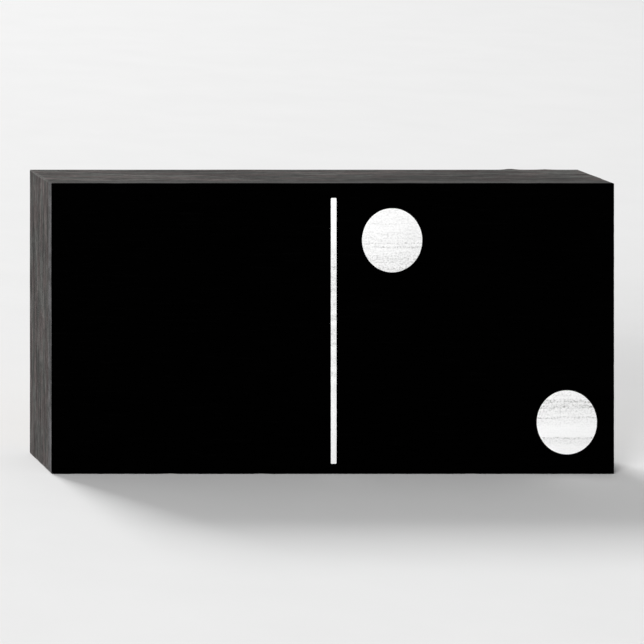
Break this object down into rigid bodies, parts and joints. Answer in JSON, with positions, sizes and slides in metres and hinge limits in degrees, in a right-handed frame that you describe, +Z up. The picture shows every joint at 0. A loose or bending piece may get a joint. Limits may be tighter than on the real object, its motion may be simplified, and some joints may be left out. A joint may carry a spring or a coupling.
{
  "type": "domino tile box sign",
  "caption": "Shallow open-backed timber box sign with a flat front printed as a domino tile in black and white; it stands on its bottom side or hangs on a wall.",
  "frame": {"origin": "middle of the bounding box's bottom face, which is the plane that the bottom rail stands on", "axes": "+X along the width, towards the half with the pips; -Y out of the printed front; +Y out of the open back; +Z up"},
  "size_m": [0.26, 0.04, 0.1344],
  "materials": {
    "panel_wood": "stained edge, bare back, matt",
    "stained_wood": "charcoal stain, open grain, matt",
    "black_ink": "matt printed film",
    "white_ink": "matt printed film",
    "steel": "bright",
    "hanger_steel": "brass plated"
  },
  "bodies": {
    "root": {"face_panel": "panel_wood", "top_rail": "stained_wood", "bottom_rail": "stained_wood", "left_rail": "stained_wood", "right_rail": "stained_wood", "black_print": "black_ink", "divider_bar": "white_ink", "pip_upper": "white_ink", "pip_lower": "white_ink", "panel_pins": "steel", "v_nails": "steel", "sawtooth_hanger": "hanger_steel", "hanger_nails": "hanger_steel"}
  },
  "joints": []
}
